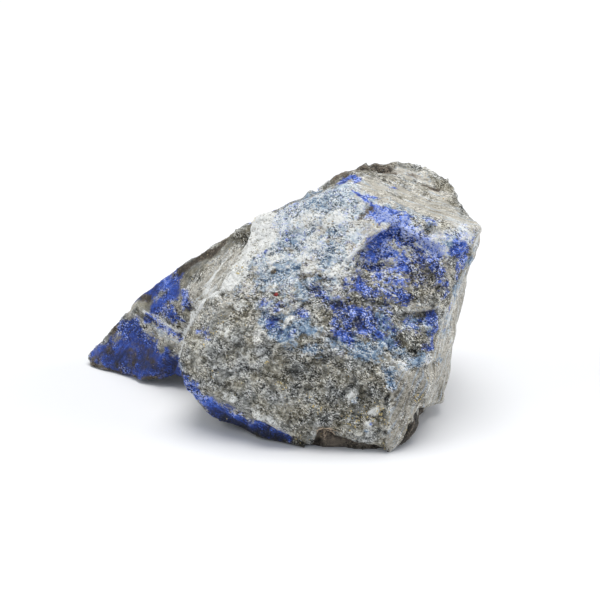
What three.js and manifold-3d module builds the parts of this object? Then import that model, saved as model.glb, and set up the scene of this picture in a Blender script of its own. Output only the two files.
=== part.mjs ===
// A hand-sized piece of rough lazurite rock: one broken natural stone.
// Units are millimetres, +Z is up, +X runs along the stone, -Y is its broad broken front.
import * as THREE from 'three';
import { ConvexGeometry } from 'three/addons/geometries/ConvexGeometry.js';
import { TessellateModifier } from 'three/addons/modifiers/TessellateModifier.js';
import { ImprovedNoise } from 'three/addons/math/ImprovedNoise.js';
import Module from 'manifold-3d';

const wasm = await Module();
wasm.setup();

// Corners of the main block, where its broken faces meet.
const block = {
  elbow: [-20, -11.5, 13.5],
  elbow_low: [-18.5, -12, 7.5],
  chamfer_top_mid: [-11, -17, 7.5],
  chamfer_top_low: [-4, -20, 5.5],
  chamfer_low_left: [-13.5, -13, 2.5],
  chamfer_low_right: [-4, -17, 0.5],
  toe_left: [3.5, -20, 0],
  toe: [19.5, -22, 0],
  knee: [20, -19.5, 14.5],
  shin: [18.5, -22.5, 6],
  right_foot: [22, -20, 1],
  hip: [26, -17, 9],
  side_foot: [25, -17.5, 3.5],
  front_right_low: [27, -15.5, 18],
  ridge_left: [10.5, 3, 43],
  ridge_peak: [21.5, -2.5, 39.5],
  ridge_right: [27, -3, 37],
  corner: [36.5, -1, 35.5],
  corner_back: [36, 6, 34.5],
  side_top: [36.5, 5, 28.5],
  side_mid: [34.5, 4, 19],
  side_low: [32.5, 0, 9.5],
  heel: [30, -5, 2],
  white_low: [-17, -8, 20.5],
  white_mid: [-12.5, -6, 24.5],
  white_high: [-7.5, -1, 30.5],
  white_top: [-5.5, 5, 35],
  brow_right: [8.5, 6.5, 41.2],
  belly: [-4.5, -16.5, 19.5],
  belly_right: [11, -18.5, 19],
  cap_left: [10, 11, 41.5],
  cap_mid: [16.5, 15, 43],
  cap_top: [23, 17, 42.5],
  cap_right: [29.5, 16, 40.5],
  cap_end: [32.5, 14, 39],
  back_left: [-6, 18, 22],
  back_mid: [14, 24, 26],
  back_right: [30, 20, 18],
  base_right: [26, -4, 0],
  base_back_right: [24, 12, 0],
  base_back: [4, 19, 0],
  base_back_left: [-14, 12, 0],
  base_left: [-14, -3, 0],
};

// The thin tail on the left breaks in two steps, a low wedge and a higher one behind it.
const tailLow = {
  tip_top: [-40.5, 16, 1.5],
  tip_low: [-39.5, 14, 0],
  front_low: [-29, 6.5, 0.5],
  front_in: [-20, 3, 3],
  step: [-31, 14.5, 12],
  band_in: [-19.5, 4, 11],
  back: [-34, 20, 3],
  back_in: [-10, 20, 6],
  up_in: [-12, 10, 18],
};
const tailHigh = {
  step: [-31, 14.5, 12],
  shoulder: [-29, 15, 15.5],
  edge_low: [-21.5, 14, 21],
  edge_mid: [-12.5, 12, 28.5],
  edge_top: [-6, 9, 33.5],
  edge_in: [-3, 8, 33],
  band_in: [-19.5, 4, 11],
  inner_low: [-13.5, 0, 21],
  inner_top: [-7, 1, 28.5],
  back_low: [-28, 20, 8],
  back_top: [-4, 18, 20],
  deep: [-8, 8, 8],
};

// A closed triangle mesh from a geometry, with the corners that coincide made one.
function solid(geometry) {
  const flat = geometry.index ? geometry.toNonIndexed() : geometry;
  const spots = flat.getAttribute('position');
  const known = new Map();
  const points = [];
  const triangles = [];
  for (let i = 0; i < spots.count; i += 1) {
    const p = [spots.getX(i), spots.getY(i), spots.getZ(i)];
    const key = p.map((c) => Math.round(c * 1e4)).join(' ');
    if (!known.has(key)) {
      known.set(key, points.length / 3);
      points.push(...p);
    }
    triangles.push(known.get(key));
  }
  return new wasm.Manifold(new wasm.Mesh({
    numProp: 3,
    vertProperties: new Float32Array(points),
    triVerts: new Uint32Array(triangles),
  }));
}

// The convex lump that has the given corners.
function lump(corners) {
  return solid(new ConvexGeometry(Object.values(corners).map((p) => new THREE.Vector3(...p))));
}

// Two lengths of smooth noise move a point: `size` is how far apart the bumps are, `far` their height.
const noise = new ImprovedNoise();
function push(p, size, far) {
  const q = p.clone().divideScalar(size);
  return new THREE.Vector3(
    noise.noise(q.x + 11.3, q.y + 4.1, q.z + 7.7),
    noise.noise(q.x + 37.9, q.y + 21.4, q.z + 3.2),
    noise.noise(q.x + 5.6, q.y + 48.2, q.z + 31.5),
  ).multiplyScalar(far);
}

// The geometry with every corner moved by noise, so that what it cuts has an uneven rim.
function uneven(geometry, size, far) {
  const spots = geometry.getAttribute('position');
  for (let i = 0; i < spots.count; i += 1) {
    const p = new THREE.Vector3().fromBufferAttribute(spots, i);
    spots.setXYZ(i, ...p.add(push(p, size, far)).toArray());
  }
  return geometry;
}

// A shell-shaped chip: a big uneven ball that bites `depth` into the face at `at`, `width` across.
function scoop(at, facing, width, depth) {
  const radius = (width * width / 4 + depth * depth) / (2 * depth);
  const out = new THREE.Vector3(...facing).normalize();
  const ball = new THREE.IcosahedronGeometry(radius, THREE.MathUtils.clamp(Math.round(radius / 1.8), 2, 28));
  ball.rotateZ(at[0]);
  ball.rotateX(at[1]);
  ball.translate(...out.multiplyScalar(radius - depth).add(new THREE.Vector3(...at)).toArray());
  return solid(uneven(ball, width / 2.6, depth * 0.9));
}

// A convex chip with the given corners and uneven walls.
function flake(corners) {
  const hull = new ConvexGeometry(Object.values(corners).map((p) => new THREE.Vector3(...p)));
  return solid(uneven(new TessellateModifier(1.8, 8).modify(hull), 3.4, 1.1));
}

const chips = [
  // The side wall is hollow between the high corner and the hip.
  scoop([31.5, -8.5, 24.5], [0.84, -0.5, 0], 30, 1.7),
  scoop([33.5, 2, 17], [0.95, -0.2, -0.1], 18, 0.8),
  // The wall springs back under the heel.
  scoop([27.8, -11.5, 3], [0.76, -0.37, -0.5], 11, 1.5),
  // The top edge is nicked just behind the high corner.
  scoop([35, 7, 37], [0.75, 0.1, 0.6], 10, 1.6),
  // Flakes have sprung from the right of the front, one under the other.
  scoop([24.5, -13.8, 21.6], [0.2, -0.82, 0.54], 8, 0.8),
  // Wide shallow scars on the upper front.
  scoop([2.9, -6.5, 31.4], [-0.34, -0.6, 0.72], 15, 0.7),
  scoop([8.4, -13.6, 24.6], [-0.08, -0.77, 0.64], 10, 0.6),
  scoop([-6, -9.6, 24.8], [-0.34, -0.6, 0.72], 9, 0.5),
  // Wide shallow scars on the lower front.
  scoop([3, -19.3, 11.6], [-0.11, -0.97, 0.23], 15, 0.7),
  scoop([-11, -15.1, 14.4], [-0.38, -0.89, 0.24], 10, 0.6),
  scoop([14.5, -21.2, 9], [-0.11, -0.97, 0.23], 9, 0.5),
  scoop([23.2, -19.2, 8.4], [0.57, -0.82, 0.07], 8, 0.5),
  scoop([-8.2, -16.9, 4.1], [-0.42, -0.78, -0.47], 12, 0.6),
  // The top has a pitted back edge and a shallow trough.
  scoop([19.4, 13, 42.8], [0.1, 0, 1], 5, 0.9),
  scoop([25.5, 7, 40], [0.27, -0.17, 0.95], 12, 0.5),
  // The tail is scarred on both of its steps.
  scoop([-22.5, 8.2, 17.2], [-0.69, -0.54, 0.47], 9, 0.6),
  scoop([-28.9, 8.8, 6.1], [-0.58, -0.68, 0.44], 9, 0.5),
  // Big scars on the back.
  scoop([8, 21.5, 22], [-0.05, 0.98, -0.1], 24, 2.2),
  scoop([24, 20.5, 26], [0.3, 0.95, 0.1], 16, 1.4),
  scoop([-18, 18.5, 12], [-0.3, 0.9, 0.3], 15, 1.2),
  scoop([18, 17.5, 8], [0.15, 0.9, -0.4], 15, 1.2),
];

// The scar below the top ridge has an upright rim shaped like a roof and fades out downwards.
const roofScar = {
  peak: [19.4, -3, 37],
  peak_out: [19.2, -7, 40],
  left: [12.6, -6.3, 31.8],
  left_out: [12, -10, 35],
  right: [29, -4.2, 32.4],
  right_out: [29.8, -8, 36],
  fade_left: [14.8, -14.2, 24],
  fade_left_out: [14, -17, 27],
  fade_right: [27.6, -11, 24.4],
  fade_right_out: [29, -14, 28],
};

// The top ridge has lost a flake, beside the scar.
const ridgeNick = {
  low: [27.4, -4.6, 33.6],
  low_left: [25.8, -3.8, 35],
  low_right: [29.4, -3.4, 35],
  top: [27.8, -1.4, 37.2],
  top_left: [26.4, -2.2, 38.4],
  out: [27.6, -7, 38.5],
};

// Below the scars the front steps back under a bulge.
const hollow = {
  left: [19.6, -17.2, 18.4],
  right: [25.6, -15.4, 18.8],
  top: [22.8, -15, 20],
  low: [22.4, -18, 15.6],
  left_out: [19.4, -20, 20],
  right_out: [26, -18.5, 21],
  low_out: [22.4, -20.5, 16.5],
};

// Under the toe a brown skin of weathered rock is set back from the front.
const skin = {
  left: [2, -19.6, 4.6],
  left_out: [1.5, -24, 5.6],
  left_low: [3.4, -18.6, -1],
  left_low_out: [3, -24, -1],
  mid: [11.5, -20.4, 2.9],
  mid_out: [11.5, -25, 3.6],
  right: [18.4, -21.1, 1],
  right_out: [18.4, -25, 1.2],
  right_low: [18.4, -20.9, -1],
  right_low_out: [18.4, -25, -1],
};

let stone = lump(block).add(lump(tailLow)).add(lump(tailHigh));
[...chips, flake(roofScar), flake(ridgeNick), flake(hollow), flake(skin)].forEach((chip) => {
  stone = stone.subtract(chip);
});

// The name of the edge between two points, the same from either side.
function edgeName(a, b) {
  return a < b ? `${a} ${b}` : `${b} ${a}`;
}

// The direction a face looks in, its length twice the face's area.
function outward(points, [a, b, c]) {
  const ab = points[b].clone().sub(points[a]);
  return ab.cross(points[c].clone().sub(points[a]));
}

// How tall a face stands on its longest edge.
function height(points, f) {
  const lengths = f.map((a, k) => points[a].distanceTo(points[f[(k + 1) % 3]]));
  return outward(points, f).length() / Math.max(...lengths);
}

// Angle at corner c between the directions of a and b.
function cornerAngle(points, a, b, c) {
  return points[a].clone().sub(points[c]).angleTo(points[b].clone().sub(points[c]));
}

// Turn the edge that two faces share wherever that makes them less thin: faces in one plane, and needles.
function fatten(points, faces) {
  for (let round = 0; round < 30; round += 1) {
    const sides = new Map();
    faces.forEach((f, index) => f.forEach((a, k) => {
      sides.set(`${a} ${f[(k + 1) % 3]}`, [index, f[(k + 2) % 3]]);
    }));
    const done = new Set();
    let turned = 0;
    sides.forEach(([left, c], side) => {
      const [a, b] = side.split(' ').map(Number);
      const [right, d] = sides.get(`${b} ${a}`);
      if (a > b || done.has(left) || done.has(right) || sides.has(`${c} ${d}`) || sides.has(`${d} ${c}`)) {
        return;
      }
      const first = outward(points, faces[left]).normalize();
      const second = outward(points, faces[right]).normalize();
      const needleLeft = height(points, faces[left]) < 0.2;
      const needleRight = height(points, faces[right]) < 0.2;
      if (first.dot(second) < 0.998 && needleLeft === needleRight) {
        return;
      }
      const facing = needleLeft ? second : first;
      if (cornerAngle(points, a, b, c) + cornerAngle(points, a, b, d) < Math.PI + 1e-4) {
        return;
      }
      const pair = [[c, a, d], [d, b, c]];
      if (pair.some((f) => outward(points, f).dot(facing) < 1e-5)) {
        return;
      }
      [faces[left], faces[right]] = pair;
      done.add(left);
      done.add(right);
      turned += 1;
    });
    if (turned === 0) {
      break;
    }
  }
}

// Shrink every edge shorter than `shortest` to a point where the mesh stays closed.
function dropShort(points, faces, shortest) {
  let kept = faces;
  for (let round = 0; round < 40; round += 1) {
    const near = points.map(() => new Set());
    const fans = points.map(() => []);
    kept.forEach((f) => f.forEach((a, k) => {
      near[a].add(f[(k + 1) % 3]).add(f[(k + 2) % 3]);
      fans[a].push(f);
    }));
    const touched = new Set();
    const moved = new Map();
    kept.forEach((f) => f.forEach((a, k) => {
      const b = f[(k + 1) % 3];
      const both = [...near[a]].filter((i) => near[b].has(i));
      const ring = [a, b, ...near[a], ...near[b]];
      if (points[a].distanceTo(points[b]) > shortest || both.length !== 2 || ring.some((i) => touched.has(i))) {
        return;
      }
      const [stays, goes] = points[a].z < points[b].z ? [a, b] : [b, a];
      const turns = fans[goes].filter((g) => !g.includes(stays)).some((g) => {
        const before = outward(points, g);
        const after = outward(points, g.map((i) => (i === goes ? stays : i)));
        return before.length() > 1e-3 && before.normalize().dot(after.normalize()) < 0.7;
      });
      if (turns) {
        return;
      }
      ring.forEach((i) => touched.add(i));
      moved.set(goes, stays);
    }));
    if (moved.size === 0) {
      break;
    }
    kept = kept.map((f) => f.map((i) => moved.get(i) ?? i)).filter(([a, b, c]) => a !== b && b !== c && c !== a);
  }
  return kept;
}

// Split the longest edge of each wall face while it is over `longest`, and fatten in between.
function refine(points, triangles, longest) {
  let faces = dropShort(points, triangles, 0.35);
  fatten(points, faces);
  for (let round = 0; round < 40; round += 1) {
    const middles = new Map();
    faces.filter((f) => f.some((i) => points[i].z > 1e-3)).forEach((f) => {
      const lengths = f.map((a, k) => points[a].distanceTo(points[f[(k + 1) % 3]]));
      const far = Math.max(...lengths);
      const k = lengths.indexOf(far);
      const edge = edgeName(f[k], f[(k + 1) % 3]);
      if (far > longest && !middles.has(edge)) {
        middles.set(edge, points.length);
        points.push(points[f[k]].clone().lerp(points[f[(k + 1) % 3]], 0.5));
      }
    });
    if (middles.size === 0) {
      break;
    }
    faces = faces.flatMap(([a, b, c]) => splitFace(
      [a, b, c],
      [middles.get(edgeName(a, b)), middles.get(edgeName(b, c)), middles.get(edgeName(c, a))],
    ));
    fatten(points, faces);
  }
  return faces;
}

// One face becomes two, three or four, depending on which of its edges have a middle point.
function splitFace(corners, middles) {
  const count = middles.filter((m) => m !== undefined).length;
  if (count === 0) {
    return [corners];
  }
  let [a, b, c] = corners;
  let [ab, bc, ca] = middles;
  if (count === 3) {
    return [[a, ab, ca], [ab, b, bc], [ca, bc, c], [ab, bc, ca]];
  }
  const turn = () => {
    [a, b, c] = [b, c, a];
    [ab, bc, ca] = [bc, ca, ab];
  };
  if (count === 1) {
    while (ab === undefined) {
      turn();
    }
    return [[a, ab, c], [ab, b, c]];
  }
  while (ca !== undefined) {
    turn();
  }
  return [[ab, b, bc], [a, ab, bc], [a, bc, c]];
}

// Uneven breakage: each point is pushed about by two sizes of noise, never through the base.
function weather(p) {
  const shift = push(p, 9, 0.65).add(push(p, 4.3, 0.45));
  shift.z *= THREE.MathUtils.smoothstep(p.z, 0, 4);
  return p.clone().add(shift);
}

const cut = stone.getMesh();
const points = [];
for (let i = 0; i < cut.numVert; i += 1) {
  const at = i * cut.numProp;
  points.push(new THREE.Vector3().fromArray(cut.vertProperties, at));
}
const triangles = [];
for (let i = 0; i < cut.numTri; i += 1) {
  triangles.push([...cut.triVerts.subarray(3 * i, 3 * i + 3)]);
}
const faces = refine(points, triangles, 3);
const shaped = points.map(weather);

// The stone stands on its base with the middle of its outline over the origin.
const extent = new THREE.Box3().setFromPoints(shaped);
const middle = extent.getCenter(new THREE.Vector3());
middle.z = 0;
shaped.forEach((p) => p.sub(middle));

const geometry = new THREE.BufferGeometry();
geometry.setAttribute('position', new THREE.Float32BufferAttribute(shaped.flatMap((p) => p.toArray()), 3));
geometry.setIndex(faces.flat());
geometry.computeVertexNormals();

const rock = new THREE.MeshStandardMaterial({ color: 0x5a6a96, roughness: 0.75, metalness: 0 });
const stoneMesh = new THREE.Mesh(geometry, rock);
stoneMesh.name = 'lazurite_stone';

const part = new THREE.Group();
part.name = 'lazurite';
part.add(stoneMesh);
export default part;
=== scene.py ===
# %% [markdown]
# # A rough piece of lazurite rock
#
# Lazurite is the blue mineral of lapis lazuli. In the ground it grows in patches through a grey rock of
# tiny mixed grains, with white calcite, a little gold-coloured pyrite, and a brown skin where the rock
# has weathered. This lesson takes the plain solid of one broken stone and gives it that look: a finer
# broken surface, the minerals in their places, and a material made of grains.

import math

import bmesh
import bpy
import numpy as np
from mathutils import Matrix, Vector
from mathutils.bvhtree import BVHTree


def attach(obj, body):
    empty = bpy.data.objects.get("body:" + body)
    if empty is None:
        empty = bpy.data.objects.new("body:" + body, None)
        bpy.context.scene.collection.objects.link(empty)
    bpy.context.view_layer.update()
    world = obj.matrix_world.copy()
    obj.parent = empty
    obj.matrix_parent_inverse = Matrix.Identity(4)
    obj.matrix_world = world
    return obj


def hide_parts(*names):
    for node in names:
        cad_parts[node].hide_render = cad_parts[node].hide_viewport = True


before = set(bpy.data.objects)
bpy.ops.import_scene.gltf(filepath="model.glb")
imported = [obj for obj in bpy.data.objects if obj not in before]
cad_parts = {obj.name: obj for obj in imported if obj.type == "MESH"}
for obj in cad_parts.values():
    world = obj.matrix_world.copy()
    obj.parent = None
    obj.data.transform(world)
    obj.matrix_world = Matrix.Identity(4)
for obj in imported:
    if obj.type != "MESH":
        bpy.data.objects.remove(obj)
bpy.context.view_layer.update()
stone_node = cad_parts["lazurite_stone"]

# %% [markdown]
# ## The camera comes first
#
# The minerals will be placed by where they are seen, so the lesson needs the eye before it needs the
# paint. A long lens from a third of a metre away, looking down by 24 degrees, gives the flat, calm view
# of a product photograph.

# %% Camera
PICTURE = 600
LENS = 100.0
SENSOR = 36.0
LOOK_DOWN = math.radians(24)
eye = Vector((0.00475, -0.28923, 0.1497))

camera_data = bpy.data.cameras.new("camera")
camera_data.lens = LENS
camera_data.sensor_width = SENSOR
camera_data.clip_start = 0.01
camera = bpy.data.objects.new("camera", camera_data)
camera.location = eye
camera.rotation_euler = (math.pi / 2 - LOOK_DOWN, 0, 0)
bpy.context.scene.collection.objects.link(camera)
bpy.context.scene.camera = camera


def sight_line(column, row):
    """Direction from the eye through a spot of the square picture, counted from its top left corner:
    to the right and up by the spot's place on the sensor, and one lens length ahead."""
    right = (column - PICTURE / 2) / PICTURE * SENSOR / LENS
    up = (PICTURE / 2 - row) / PICTURE * SENSOR / LENS
    ahead = Vector((0, math.cos(LOOK_DOWN), -math.sin(LOOK_DOWN)))
    above = Vector((0, math.sin(LOOK_DOWN), math.cos(LOOK_DOWN)))
    return (ahead + right * Vector((1, 0, 0)) + up * above).normalized()


print("the middle of the picture looks along", [round(c, 3) for c in sight_line(300, 300)])

# %% [markdown]
# ## An even skin
#
# The solid has a few thousand triangles of very different sizes. Relief needs points that are evenly
# spaced, so a copy of the solid is remeshed into small squares. They could also be made by cutting each
# triangle into smaller ones, but then thin triangles would give thin squares. The remeshed copy is read
# into arrays, and from here on every step works on all the points at once, in millimetres.

# %% Remesh a copy of the solid
NET = 0.00037


def even_skin(node, square):
    """Points (mm) and four-sided faces of the node's outside, as a net of squares `square` metres wide."""
    mesh = node.data.copy()
    sheet = bmesh.new()
    sheet.from_mesh(mesh)
    bmesh.ops.remove_doubles(sheet, verts=sheet.verts, dist=1e-7)
    sheet.to_mesh(mesh)
    sheet.free()
    draft = bpy.data.objects.new("draft", mesh)
    bpy.context.scene.collection.objects.link(draft)
    net = draft.modifiers.new("net", "REMESH")
    net.mode = "VOXEL"
    net.voxel_size = square
    fine = bpy.data.meshes.new_from_object(draft.evaluated_get(bpy.context.evaluated_depsgraph_get()))
    spots = np.empty(3 * len(fine.vertices))
    fine.vertices.foreach_get("co", spots)
    corners = np.empty(len(fine.loops), dtype=np.int64)
    fine.loops.foreach_get("vertex_index", corners)
    bpy.data.objects.remove(draft)
    bpy.data.meshes.remove(fine)
    return 1000 * spots.reshape(-1, 3), corners.reshape(-1, 4)


points, faces = even_skin(stone_node, NET)
print(len(points), "points and", len(faces), "faces")

# %% [markdown]
# ## Helpers for a net of points
#
# A net needs to know which way each point faces, and it needs to be smoothed a little, because the
# solid's flat triangles would otherwise show as a low-polygon model. A modifier could smooth it too, but
# it would also round the edge of the base. So the smoothing is worked out here and fades away close to
# the base, by a soft step that many later cells use again.

# %% Normals, smoothing and a soft step
face_sides = np.concatenate([faces[:, [k, (k + 1) % 4]] for k in range(4)])
edges = np.unique(np.sort(face_sides, axis=1), axis=0)


def facing(spots):
    """Outward unit vector of every point: the sum of its faces' normals, each the cross product of the
    face's two diagonals."""
    a, b, c, d = (spots[faces[:, k]] for k in range(4))
    across = np.cross(c - a, d - b)
    corners = faces.ravel()
    sums = [np.bincount(corners, np.repeat(across[:, k], 4), len(spots)) for k in range(3)]
    total = np.stack(sums, 1)
    return total / np.maximum(np.linalg.norm(total, axis=1, keepdims=True), 1e-12)


def relax(values, rounds):
    """Each round moves a value half way to the mean of its neighbours along the edges."""
    both = np.concatenate([edges, edges[:, ::-1]])
    count = np.bincount(both[:, 0], minlength=len(values))[:, None]
    for _ in range(rounds):
        sums = [np.bincount(both[:, 0], v[both[:, 1]], len(v)) for v in values.T]
        values = (values + np.stack(sums, 1) / count) / 2
    return values


def fade(value, start, end):
    """0 up to start, 1 from end on, and an S-shaped curve in between."""
    t = np.clip((value - start) / (end - start), 0, 1)
    return t * t * (3 - 2 * t)


# heights above the base in mm: no change up to the first, and the whole change from the second on
STILL_UP_TO = 0.1
FREE_FROM = 1.0
SMOOTHING_ROUNDS = 3
above_base = fade(points[:, 2], STILL_UP_TO, FREE_FROM)[:, None]
points = points + above_base * (relax(points, SMOOTHING_ROUNDS) - points)
points[:, 2] = np.maximum(points[:, 2], 0)
print("lowest point after smoothing:", points[:, 2].min())

# %% [markdown]
# ## Noise made from whole numbers
#
# Broken stone is irregular, but it has to come out the same on every run. So the random numbers are
# worked out from the whole-number cell that a point lies in, and a salt makes each use different. One
# helper blends them into smooth ripples.

# %% Ripples
ODD_NUMBERS = [np.uint64(n) for n in (0x9E3779B97F4A7C15, 0xC2B2AE3D27D4EB4F, 0x165667B19E3779F9)]
SALT_NUMBER = 7046029254386353131
MIXERS = [(29, 0xBF58476D1CE4E5B9), (32, 0x94D049BB133111EB)]


def stir(cells, salt):
    """A repeatable number from 0 to 1 for each whole-number cell: its indices times large odd numbers,
    joined by exclusive or and mixed by shifts."""
    c = cells.astype(np.int64).astype(np.uint64)
    mixed = np.uint64(salt * SALT_NUMBER % 2**64)
    for axis, odd in enumerate(ODD_NUMBERS):
        mixed = mixed ^ c[:, axis] * odd
    for shift, factor in MIXERS:
        mixed = (mixed ^ (mixed >> np.uint64(shift))) * np.uint64(factor)
    return (mixed >> np.uint64(11)).astype(float) / 2**53


def ripple(spots, size, salt):
    """Smooth noise from -1 to 1: random values at corners `size` apart, blended by curves that are flat
    at each corner."""
    cell = np.floor(spots / size)
    t = spots / size - cell
    t = t**3 * (t * (6 * t - 15) + 10)
    total = 0
    for corner in np.ndindex(2, 2, 2):
        weight = np.prod(np.where(corner, t, 1 - t), axis=1)
        total = total + weight * stir(cell + corner, salt)
    return 2 * total - 1


def layered(spots, size, salt, octaves=3):
    """Ripples laid on each other, each half as wide and half as high as the last, from -1 to 1."""
    layers = [ripple(spots, size / 2**k, salt + k) / 2**k for k in range(octaves)]
    return sum(layers) / (2 - 0.5 ** (octaves - 1))


def three_ripples(spots, height, size, salt):
    """A ripple of that height and size for each of the three directions, each with a salt of its own."""
    return height * np.stack([ripple(spots, size, salt + k) for k in range(3)], 1)


print("a ripple at the origin:", ripple(np.zeros((1, 3)), 5, 1)[0])

# %% [markdown]
# ## Chips
#
# Broken rock has flat little faces. A ripple is too soft for them. So every cell gets a random centre
# with a tilted plane, each point lies on the plane of its nearest centre, and where two planes meet
# there is a small ledge, as on a real broken face.

# %% Chips
def chips(spots, size, salt):
    """Height, in units of `size`, of each point on the tilted plane of its nearest random centre."""
    place = spots / size
    cell = np.floor(place)
    nearest = np.full(len(spots), np.inf)
    height = np.zeros(len(spots))
    for step in np.ndindex(3, 3, 3):
        near = cell + step - np.ones(3)
        offset = place - near - np.stack([stir(near, salt + k) for k in range(3)], 1)
        tilt = 2 * np.stack([stir(near, salt + 3 + k) for k in range(3)], 1) - 1
        far = (offset**2).sum(1)
        closer = far < nearest
        nearest = np.where(closer, far, nearest)
        height = np.where(closer, (offset * tilt).sum(1), height)
    return height


print("a chip's height at the origin:", chips(np.zeros((1, 3)), 5, 1)[0])

# %% [markdown]
# ## Where each mineral lies
#
# Each mineral is laid on with a brush: a stroke is a width in picture units, a strength, and a path of
# spots in the picture. A straight line from the eye through each spot finds the place on the stone, and
# from then on the stroke belongs to the stone. A point's share of the mineral falls with its distance
# from the stroke, and ripples make the edge of each patch wander.

# %% From the picture to the stone
skin_tree = BVHTree.FromPolygons((points / 1000).tolist(), faces.tolist())
STONE_MIDDLE = (300, 310)
STEPS_INWARDS = 9


def on_stone(column, row):
    """The place (mm) where the line of sight through a spot of the picture first meets the stone. A spot
    just beside the stone moves towards the stone's middle, one picture unit at a time, until it does."""
    middle_column, middle_row = STONE_MIDDLE
    away, down = column - middle_column, row - middle_row
    reach = math.hypot(away, down)
    for step in range(STEPS_INWARDS):
        nearer = 1 - step / reach
        sight = sight_line(middle_column + away * nearer, middle_row + down * nearer)
        hit = skin_tree.ray_cast(eye, sight)[0]
        if hit is not None:
            return 1000 * np.array(hit)
    raise ValueError(f"no stone near column {column}, row {row}")


relative = points / 1000 - np.array(eye)
depth_ahead = relative[:, 1] * math.cos(LOOK_DOWN) - relative[:, 2] * math.sin(LOOK_DOWN)
height_up = relative[:, 1] * math.sin(LOOK_DOWN) + relative[:, 2] * math.cos(LOOK_DOWN)
columns = PICTURE * (0.5 + relative[:, 0] / depth_ahead * LENS / SENSOR)
rows = PICTURE * (0.5 - height_up / depth_ahead * LENS / SENSOR)
print("the eye meets the stone at", np.round(on_stone(300, 305), 1), "mm")

# %% A brush
UNIT = 0.19
CORE = 0.1
RIM = 2.2
FULL_WANDER = 8
wander = three_ripples(points, 0.9, 4, 50) + three_ripples(points, 0.5, 1.6, 60)


def brushed(strokes):
    """Share of a mineral at every point: the strongest stroke there, each full up to CORE widths from its
    path and nothing beyond RIM widths, measured to the nearest straight run of the path. A picture unit
    is UNIT mm on the stone, and strokes thinner than FULL_WANDER units wander less."""
    share = np.zeros(len(points))
    for width, strength, *path in strokes:
        spots = np.array([on_stone(*spot) for spot in path])
        ends = spots[1:] if len(spots) > 1 else spots
        moved = points + min(1, width / FULL_WANDER) * wander
        gap = np.full(len(points), np.inf)
        for start, end in zip(spots, ends):
            run = end - start
            along = np.clip((moved - start) @ run / max(run @ run, 1e-9), 0, 1)
            gap = np.minimum(gap, np.linalg.norm(moved - start - along[:, None] * run, axis=1))
        covered = strength * (1 - fade(gap, CORE * width * UNIT, RIM * width * UNIT))
        share = np.maximum(share, covered)
    return share


def laid_on(name, strokes):
    """The share of a mineral from all its strokes, with a print of how much of the stone it covers."""
    share = brushed(strokes)
    print(name, "covers", round(100 * (share > 0.5).mean(), 1), "% of the points")
    return share


print("edges wander by up to", round(np.abs(wander).max(), 1), "mm")

# %% [markdown]
# ## Royal blue
#
# The lazurite itself. It fills the tail on the left, lies along the slanting edge under the front, and
# breaks through the front in a scar on the right. A single noise could scatter blue over the stone, but
# the patches have their own places, so each is a stroke of the brush.

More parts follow.
